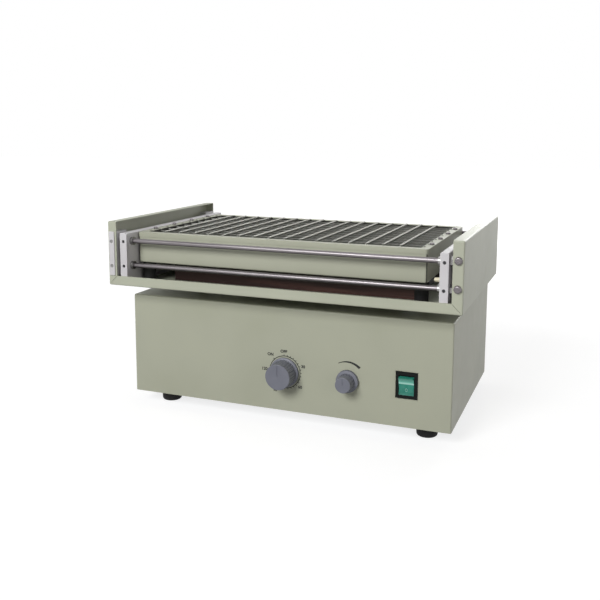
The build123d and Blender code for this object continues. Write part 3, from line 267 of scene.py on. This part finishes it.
def moulded(name, r, g, b, roughness=0.5, grain=1500.0, coat=0.0, specular=0.4):
    """Moulded, cast or printed stuff, slightly clouded, with a fine grain."""
    plastic = Finish(name, roughness=roughness, specular=specular, coat=coat)
    cloud = plastic.noise(45.0, 3.0)
    darker = srgb(*(max(c - 5, 0) for c in (r, g, b)))
    plastic.colour(plastic.ramp(cloud, (0.3, darker), (0.75, srgb(r + 4, g + 4, b + 4))))
    skin = plastic.noise(grain, 2.0)
    plastic.gloss(plastic.spread(skin, roughness * 0.8, roughness * 1.2))
    plastic.relief(skin, 0.14, 0.0001)
    return plastic.material


def foot_rubber():
    rubber = Finish("foot black rubber", roughness=0.72, specular=0.25)
    dust = rubber.noise(60.0, 5.0)
    rubber.colour(rubber.ramp(dust, (0.35, srgb(20, 20, 21)), (0.8, srgb(40, 39, 38))))
    rubber.relief(rubber.noise(900.0, 2.0), 0.25, 0.0002)
    return rubber.material


def rocker_lens():
    """Translucent green rocker, darker towards the bottom, with a painted highlight: a pale band
    across it above the middle.
    """
    lens = Finish("rocker green lens", roughness=0.16, specular=0.35, coat=0.15)
    low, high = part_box("switch_rocker")
    height = lens.spread(lens.split()["Z"], 0.0, 1.0, low.z, high.z)
    # The pale stop above the middle is a painted highlight; the colour darkens towards the
    # bottom.
    tone = lens.ramp(
        height,
        (0.0, srgb(12, 104, 88)),
        (0.58, srgb(22, 136, 116)),
        (0.64, srgb(190, 238, 226)),
        (0.74, srgb(104, 190, 170)),
        (0.95, srgb(44, 138, 118)),
    )
    milk = lens.noise(220.0, 2.0)
    lens.colour(lens.blend(lens.spread(milk, 0.0, 0.18, 0.4, 0.8), tone, srgb(120, 200, 180)))
    lens.shader.inputs["Subsurface Weight"].default_value = 0.15
    lens.shader.inputs["Subsurface Radius"].default_value = (0.002, 0.004, 0.003)
    lens.shader.inputs["Subsurface Scale"].default_value = 0.5
    return lens.material


body_paint = satin_enamel("cabinet satin enamel", 168, 170, 152)
carrier_paint = satin_enamel("carrier satin enamel", 175, 178, 160)
guard_plastic = white_guard_plastic()
rod_chrome = plated_steel("rod polished steel", 120, 116, 118, 0.34, (0.04, 1.0, 1.0))
screw_zinc = plated_steel("screw bright zinc", 150, 149, 148, 0.28, grain=900.0)
spring_wire = plated_steel("spring bright wire", 150, 150, 144, 0.3, grain=1600.0)
board_laminate = streaked_board()
rubber = foot_rubber()
knob_grey = moulded("knob grey moulding", 112, 114, 124, 0.46)
black_plastic = moulded("switch black moulding", 9, 12, 11, 0.34, specular=0.15)
cream_plastic = moulded("stop cream plastic", 226, 219, 192, 0.45)
acetal = moulded("bearing white acetal", 232, 232, 228, 0.35, 700.0)
rocker_green = rocker_lens()
machined_alloy = plated_steel("machined alloy", 196, 198, 200, 0.32, (1.0, 1.0, 0.05), 380.0)
cast_iron = moulded("housing painted casting", 74, 77, 82, 0.62, 260.0)
motor_enamel = satin_enamel("motor dark enamel", 54, 58, 64)
zinc_sheet = plated_steel("zinc plated sheet", 170, 174, 178, 0.38, grain=120.0)
belt_rubber = moulded("belt rubber", 28, 28, 30, 0.75, 700.0)
brass = plated_steel("pin brass", 206, 172, 96, 0.26)
board_green = moulded("board green lacquer", 32, 90, 58, 0.32, 300.0, coat=0.3)

FINISHES = {
    "body_paint": body_paint,
    "carrier_paint": carrier_paint,
    "guard_white": guard_plastic,
    "steel_chrome": rod_chrome,
    "steel_screw": screw_zinc,
    "spring_steel": spring_wire,
    "board_brown": board_laminate,
    "rubber_black": rubber,
    "knob_grey": knob_grey,
    "black_plastic": black_plastic,
    "rocker_green": rocker_green,
    "cream_plastic": cream_plastic,
    "acetal_white": acetal,
    "alloy": machined_alloy,
    "cast_housing": cast_iron,
    "motor_paint": motor_enamel,
    "zinc_sheet": zinc_sheet,
    "belt_black": belt_rubber,
    "brass": brass,
    "board_green": board_green,
}


def wear(piece, material):
    piece.data.materials.clear()
    piece.data.materials.append(material)


for part in frame["record"]["subparts"]:
    wear(nodes[part["node"]], FINISHES[part["material_slot"]])
wear(nodes["tray_pan"], tray_enamel())
wear(nodes["guard_grub_screws"], plated_steel("grub screw steel", 84, 84, 86, 0.4, grain=900.0))


# ------------------------------------------------------------------ making pieces
def active():
    return bpy.context.object


def start_piece(add, **shape):
    """Add a primitive and stay in edit mode with all of it selected."""
    bpy.ops.object.select_all(action="DESELECT")
    add(**shape)
    bpy.ops.object.mode_set(mode="EDIT")
    bpy.ops.mesh.select_all(action="SELECT")


def turn_by(angle, axis):
    """Turn the selection counterclockwise about an axis through the origin."""
    bpy.ops.transform.rotate(value=-angle, orient_axis=axis, center_override=(0, 0, 0))


def end_piece(name, material):
    """Leave edit mode with the faces turned outward, and dress what was made."""
    if active().mode == "EDIT":
        bpy.ops.mesh.select_all(action="SELECT")
        bpy.ops.mesh.normals_make_consistent(inside=False)
        bpy.ops.object.mode_set(mode="OBJECT")
    active().name = active().data.name = name
    wear(active(), material)
    return active()


def twin(piece, name, x, y):
    """A copy of a piece moved by x and y, with a mesh of its own."""
    bpy.ops.object.select_all(action="DESELECT")
    piece.select_set(True)
    bpy.context.view_layer.objects.active = piece
    bpy.ops.object.duplicate()
    copy = active()
    copy.name = copy.data.name = name
    copy.location = (x, y, 0)
    bpy.ops.object.transform_apply(location=True, rotation=False, scale=False)
    return copy


def hand_over(pieces, body, slot, *stands_for):
    """Let pieces ride a body, in place of the CAD nodes named. The slot argument is not used."""
    for piece in pieces:
        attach(piece, body)
        if stands_for:
            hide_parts(*stands_for)


# ------------------------------------------------------------------ coiled flask springs
# A coil ends coil_start short of the rim's inner edge, and its hooks begin hook_root inside it.
# A riser stands hook_edge short of that edge. A hook crosses the rim hook_rise above its top,
# goes down hook_inset past the edge and ends hook_leg below the top.
coil_radius = 0.0015
coil_wire = 0.00027
coil_sides = 5
coil_pitch = 0.00105
coil_steps = 10
coil_start = 0.0015
hook_wire = 0.00045
hook_sides = 6
hook_bend = 0.0008
hook_rise = 0.0006
hook_leg = 0.0026
hook_inset = 0.0026
hook_edge = 0.00075
hook_root = 0.0006
hook_steps = 3
level_slack = 0.0001


def coil(radius, length):
    """A close-wound spring along Z from the origin, in edit mode, its ends capped."""
    start_piece(bpy.ops.mesh.primitive_circle_add, vertices=coil_sides, radius=coil_wire)
    turn_by(pi / 2, "X")
    bpy.ops.transform.translate(value=(radius - coil_wire, 0, 0))
    bpy.ops.object.mode_set(mode="OBJECT")
    turns = round(length / coil_pitch)
    winding = active().modifiers.new("winding", "SCREW")
    winding.axis = "Z"
    winding.steps = winding.render_steps = coil_steps
    winding.iterations = turns
    winding.screw_offset = length / turns
    winding.use_smooth_shade = True
    winding.use_merge_vertices = False
    bpy.ops.object.modifier_apply(modifier="winding")
    bpy.ops.object.mode_set(mode="EDIT")
    bpy.ops.mesh.select_all(action="DESELECT")
    bpy.ops.mesh.select_non_manifold(extend=False, use_boundary=True, use_wire=False)
    bpy.ops.mesh.fill()


def hook(edge, axis_z, side):
    """Wire from inside the coil, over the rim edge at x = `edge` and down into its slot.

    Heights are measured from the rim's top. A coil that hangs below it gets a riser first.
    """
    start = edge - coil_start - hook_root
    bpy.ops.mesh.select_all(action="DESELECT")
    bpy.ops.mesh.primitive_circle_add(
        vertices=hook_sides, radius=hook_wire, location=(side * start, 0, axis_z),
        rotation=(0, pi / 2, 0), fill_type="NGON",
    )

    def run(dx, dz):
        """Draw the wire's end outward by dx and upward by dz."""
        bpy.ops.mesh.extrude_region_move(TRANSFORM_OT_translate={"value": (side * dx, 0, dz)})

    def bend(x, z, angle):
        """Sweep the wire's end round (x, z); a positive angle carries it upward."""
        bpy.ops.mesh.spin(
            steps=hook_steps, angle=side * angle, center=(side * x, 0, z), axis=(0, 1, 0),
            use_auto_merge=False,
        )

    place = start
    if axis_z < hook_rise - level_slack:
        riser = edge - hook_edge
        run(riser - hook_bend - place, 0)
        bend(riser - hook_bend, axis_z + hook_bend, pi / 2)
        run(0, hook_rise - axis_z - 2 * hook_bend)
        bend(riser + hook_bend, hook_rise - hook_bend, -pi / 2)
        place = riser + hook_bend
    slot = edge + hook_inset
    run(slot - hook_bend - place, 0)
    bend(slot - hook_bend, hook_rise - hook_bend, -pi / 2)
    run(0, -(hook_leg + hook_rise - hook_bend))


def net_spring(name, span, axis_z, turn, middle, places, node):
    """One coiled spring with its hooks, copied to each of `places`.

    It is made along X, turned about Z and moved to `middle`, the first of its places.
    """
    length = span - 2 * coil_start
    coil(coil_radius, length)
    bpy.ops.mesh.select_all(action="SELECT")
    bpy.ops.transform.translate(value=(0, 0, -length / 2))
    turn_by(pi / 2, "Y")
    bpy.ops.transform.translate(value=(0, 0, axis_z))
    for side in (-1, 1):
        hook(span / 2, axis_z, side)
    bpy.ops.mesh.select_all(action="SELECT")
    turn_by(turn, "Z")
    bpy.ops.transform.translate(value=middle)
    springs = [end_piece(f"{name}_1", spring_wire)]
    first_x, first_y = places[0]
    for number, (x, y) in enumerate(places[1:], 2):
        springs.append(twin(springs[0], f"{name}_{number}", x - first_x, y - first_y))
    hand_over(springs, "platform", "spring_steel", node)


def row(count, pitch, middle):
    """Evenly pitched places about a middle."""
    return [middle + (i - (count - 1) / 2) * pitch for i in range(count)]


tray_low, tray_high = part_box("tray_pan")
rim_width = 0.010
net_pitch = 0.020
long_count = 16
cross_count = 10
long_axis = 0.0006
cross_axis = -0.0029
tray_x = (tray_low.x + tray_high.x) / 2
tray_y = (tray_low.y + tray_high.y) / 2
long_xs = row(long_count, net_pitch, tray_x)
cross_ys = row(cross_count, net_pitch, tray_y)

net_spring(
    "long_spring", tray_high.y - tray_low.y - 2 * rim_width, long_axis, pi / 2,
    (long_xs[0], tray_y, tray_high.z), [(x, tray_y) for x in long_xs], "long_springs",
)
net_spring(
    "cross_spring", tray_high.x - tray_low.x - 2 * rim_width, cross_axis, 0.0,
    (tray_x, cross_ys[0], tray_high.z), [(tray_x, y) for y in cross_ys], "cross_springs",
)

# ------------------------------------------------------------------ panel print
ink = moulded("panel print ink", 20, 22, 22, 0.6)
ink_t = 0.00004
panel_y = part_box("cabinet_shell")[0].y
letter_size = 0.0050
letter_gain = 0.0002
weld = 0.000001


def middle_of(node):
    low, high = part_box(node)
    return (low + high) / 2


def to_panel(x, z):
    """Turn what is selected from the ground plane to the panel and put it at x, z."""
    turn_by(pi / 2, "X")
    bpy.ops.transform.translate(value=(x, panel_y - ink_t, z))


def ring_print(name, radius, width, x, z):
    """A thin flattened ring on the panel."""
    start_piece(
        bpy.ops.mesh.primitive_torus_add, major_radius=radius, minor_radius=width / 2,
        major_segments=72, minor_segments=4,
    )
    bpy.ops.transform.resize(value=(1, 1, 2 * ink_t / width), center_override=(0, 0, 0))
    to_panel(x, z)
    return end_piece(name, ink)


def tick_marks(name, radius, length, width, angles, x, z):
    """Short radial bars round a knob, one piece."""
    for number, angle in enumerate(angles):
        if number == 0:
            start_piece(bpy.ops.mesh.primitive_cube_add, size=1.0)
        else:
            bpy.ops.mesh.select_all(action="DESELECT")
            bpy.ops.mesh.primitive_cube_add(size=1.0)
        bpy.ops.transform.resize(value=(length, width, 2 * ink_t), center_override=(0, 0, 0))
        bpy.ops.transform.translate(value=(radius + length / 2, 0, 0))
        turn_by(radians(angle), "Z")
    bpy.ops.mesh.select_all(action="SELECT")
    to_panel(x, z)
    return end_piece(name, ink)


def word_print(name, text, x, z):
    """Letters or a number centred at x, z on the panel, as a mesh."""
    bpy.ops.object.select_all(action="DESELECT")
    bpy.ops.object.text_add()
    letters = active().data
    letters.body = text
    letters.size = letter_size
    letters.align_x = "CENTER"
    letters.align_y = "CENTER"
    letters.extrude = ink_t
    letters.offset = letter_gain
    letters.resolution_u = 3
    bpy.ops.object.convert(target="MESH")
    bpy.ops.object.mode_set(mode="EDIT")
    bpy.ops.mesh.select_all(action="SELECT")
    bpy.ops.mesh.remove_doubles(threshold=weld)
    to_panel(x, z)
    return end_piece(name, ink)


def growing_arc(name, radius, width, offset, lean, first, last, x, z):
    """Crescent between two off-centre circles, kept between the angles `last` and `first`."""
    facets = 160
    punch_depth = 0.001
    start_piece(
        bpy.ops.mesh.primitive_cylinder_add, vertices=facets, radius=radius, depth=2 * ink_t
    )
    bpy.ops.object.mode_set(mode="OBJECT")
    disc = active()
    start_piece(
        bpy.ops.mesh.primitive_cylinder_add, vertices=facets, radius=radius - width,
        depth=punch_depth,
    )
    shift = (offset * cos(radians(lean)), offset * sin(radians(lean)), 0)
    bpy.ops.transform.translate(value=shift)
    bpy.ops.object.mode_set(mode="OBJECT")
    punch = active()
    bpy.ops.object.select_all(action="DESELECT")
    disc.select_set(True)
    bpy.context.view_layer.objects.active = disc
    cut = disc.modifiers.new("inner circle", "BOOLEAN")
    cut.operation = "DIFFERENCE"
    cut.object = punch
    bpy.ops.object.modifier_apply(modifier="inner circle")
    bpy.data.objects.remove(punch)
    bpy.ops.object.mode_set(mode="EDIT")
    for angle, side in ((first, 1), (last, -1)):
        bpy.ops.mesh.select_all(action="SELECT")
        across = (-side * sin(radians(angle)), side * cos(radians(angle)), 0)
        bpy.ops.mesh.bisect(plane_co=(0, 0, 0), plane_no=across, clear_outer=True, use_fill=True)
    bpy.ops.mesh.select_all(action="SELECT")
    to_panel(x, z)
    return end_piece(name, ink)


timer_at = middle_of("timer_spindle")
speed_at = middle_of("speed_spindle")
scale_radius = 0.0197
degrees_a_minute = 275.0 / 120
tick_minutes = 5
tick_count = 25
off_angle = 93.0
on_angle = 133.0
tick_angles = [off_angle - n * tick_minutes * degrees_a_minute for n in range(tick_count)]
prints = [
    ring_print(
        "timer_scale_ring", radius=scale_radius, width=0.0009, x=timer_at.x, z=timer_at.z
    ),
    tick_marks(
        "timer_scale_ticks", radius=scale_radius, length=0.0018, width=0.0008,
        angles=tick_angles + [on_angle], x=timer_at.x, z=timer_at.z,
    ),
    growing_arc(
        "speed_scale", radius=0.0234, width=0.0018, offset=0.0021, lean=175.0,
        first=121.0, last=49.0, x=speed_at.x, z=speed_at.z,
    ),
]
# Each word's place from the timer's axis, in millimetres.
for text, dx, dz in (
    ("ON", -18.7, 20.0),
    ("OFF", -1.4, 25.1),
    ("30", 23.4, 8.9),
    ("60", 19.6, -16.7),
    ("90", -12.7, -23.9),
    ("120", -26.5, 1.2),
):
    place = (timer_at.x + dx / 1000, timer_at.z + dz / 1000)
    prints.append(word_print(f"timer_print_{text}", text, *place))
hand_over(prints, "base", "black_plastic")

# The rocker's ring mark, laid on the spot of its curved face that a ray along Y meets.
mark_drop = 0.0054
mark_squeeze = 0.85
ray_start = 0.1
switch_at = middle_of("switch_housing")
_, mark_spot, mark_normal, _ = nodes["switch_rocker"].ray_cast(
    (switch_at.x, panel_y - ray_start, switch_at.z - mark_drop), (0, 1, 0)
)
start_piece(
    bpy.ops.mesh.primitive_torus_add, major_radius=0.0016, minor_radius=0.00026,
    major_segments=32, minor_segments=6,
)
bpy.ops.transform.resize(value=(mark_squeeze, 1, 1), center_override=(0, 0, 0))
turn_by(pi / 2 - atan2(mark_normal.z, -mark_normal.y), "X")
bpy.ops.transform.translate(value=mark_spot)
off_mark = end_piece("rocker_off_mark", moulded("rocker mark print", 150, 190, 178, 0.4))
hand_over([off_mark], "power_rocker", "rocker_green")

# ------------------------------------------------------------------ floor, light and camera
floor_size = 12.0
lift_near = 0.74
lift_far = 0.95
lift_from = 0.5
lift_to = 2.5
sky_light = 0.14
white = (1.0, 1.0, 1.0, 1.0)


def seen_directly(tree):
    """1 on rays that show the studio itself, straight on, mirrored or through glass."""
    rays = tree.nodes.new("ShaderNodeLightPath")
    seen = rays.outputs["Is Camera Ray"]
    for kind in ("Is Glossy Ray", "Is Transmission Ray"):
        either = tree.nodes.new("ShaderNodeMath")
        either.operation = "MAXIMUM"
        tree.links.new(seen, either.inputs[0])
        tree.links.new(rays.outputs[kind], either.inputs[1])
        seen = either.outputs["Value"]
    return seen


def studio_paper():
    """Grey paper, lifted to white where it is seen; the lift grows away from the origin."""
    paper = Finish("studio white floor", roughness=0.9, specular=0.1)
    fibre = paper.noise(3.0, 2.0)
    paper.colour(paper.ramp(fibre, (0.3, srgb(158, 158, 158)), (0.7, srgb(162, 162, 162))))
    reach = paper.tree.nodes.new("ShaderNodeVectorMath")
    reach.operation = "LENGTH"
    paper.tree.links.new(paper.place, reach.inputs[0])
    lift = paper.spread(reach.outputs["Value"], lift_near, lift_far, lift_from, lift_to)
    lift = paper.math("MULTIPLY", seen_directly(paper.tree), lift)
    paper.shader.inputs["Emission Color"].default_value = white
    paper.tree.links.new(lift, paper.shader.inputs["Emission Strength"])
    return paper.material


bpy.ops.object.select_all(action="DESELECT")
bpy.ops.mesh.primitive_plane_add(size=floor_size, location=(0, 0, 0))
floor = active()
floor.name = "studio_floor"
wear(floor, studio_paper())

world = bpy.data.worlds.new("soft studio")
scene.world = world
world.use_nodes = True
sky = world.node_tree
ambient = sky.nodes["Background"]
backdrop = sky.nodes.new("ShaderNodeBackground")
for shade, strength in ((ambient, sky_light), (backdrop, 1.0)):
    shade.inputs["Color"].default_value = white
    shade.inputs["Strength"].default_value = strength
choose = sky.nodes.new("ShaderNodeMixShader")
sky.links.new(seen_directly(sky), choose.inputs["Fac"])
sky.links.new(ambient.outputs["Background"], choose.inputs[1])
sky.links.new(backdrop.outputs["Background"], choose.inputs[2])
sky.links.new(choose.outputs["Shader"], sky.nodes["World Output"].inputs["Surface"])


def softbox(name, place, aim, size, watts, tint=(1.0, 1.0, 1.0)):
    """A square area lamp at `place`, facing `aim`."""
    lamp = bpy.data.lights.new(name, "AREA")
    lamp.color = tint
    lamp.shape = "SQUARE"
    lamp.size = size
    lamp.energy = watts
    holder = bpy.data.objects.new(name, lamp)
    scene.collection.objects.link(holder)
    holder.location = place
    away = Vector(place) - Vector(aim)
    holder.rotation_euler = away.to_track_quat("Z", "Y").to_euler()


cabinet_level = (0, 0, 0.12)
tray_level = (0, 0, 0.2)
softbox("key softbox", (-0.4, -2.1, 1.32), cabinet_level, 0.9, 43.0)
softbox("right fill softbox", (1.9, -0.9, 0.7), cabinet_level, 1.0, 4.8, (1.0, 0.95, 0.97))
softbox("left fill softbox", (-2.0, 0.2, 0.6), cabinet_level, 1.0, 9.0)
softbox("top softbox", (-0.2, 0.3, 1.9), tray_level, 1.2, 4.0)
softbox("rear softbox", (0.4, 2.3, 0.8), cabinet_level, 1.2, 24.0)

# The camera's turn is its heading, pitch and roll in degrees, from looking along +Y.
camera_lens = 47.94
camera_sensor = 36.0
camera_rise = -0.1
camera_at = (0.3565, -0.9701, 0.3605)
camera_turn = (21.27, -8.24, -0.22)
lens = bpy.data.cameras.new("bench camera")
lens.sensor_width = camera_sensor
lens.lens = camera_lens
lens.shift_y = camera_rise
camera = bpy.data.objects.new("bench camera", lens)
scene.collection.objects.link(camera)
heading, pitch, roll = (radians(angle) for angle in camera_turn)
camera.matrix_world = (
    Matrix.Translation(camera_at)
    @ Matrix.Rotation(heading, 4, "Z")
    @ Matrix.Rotation(pitch, 4, "X")
    @ Matrix.Rotation(roll, 4, "Y")
    @ Matrix.Rotation(pi / 2, 4, "X")
)
scene.camera = camera
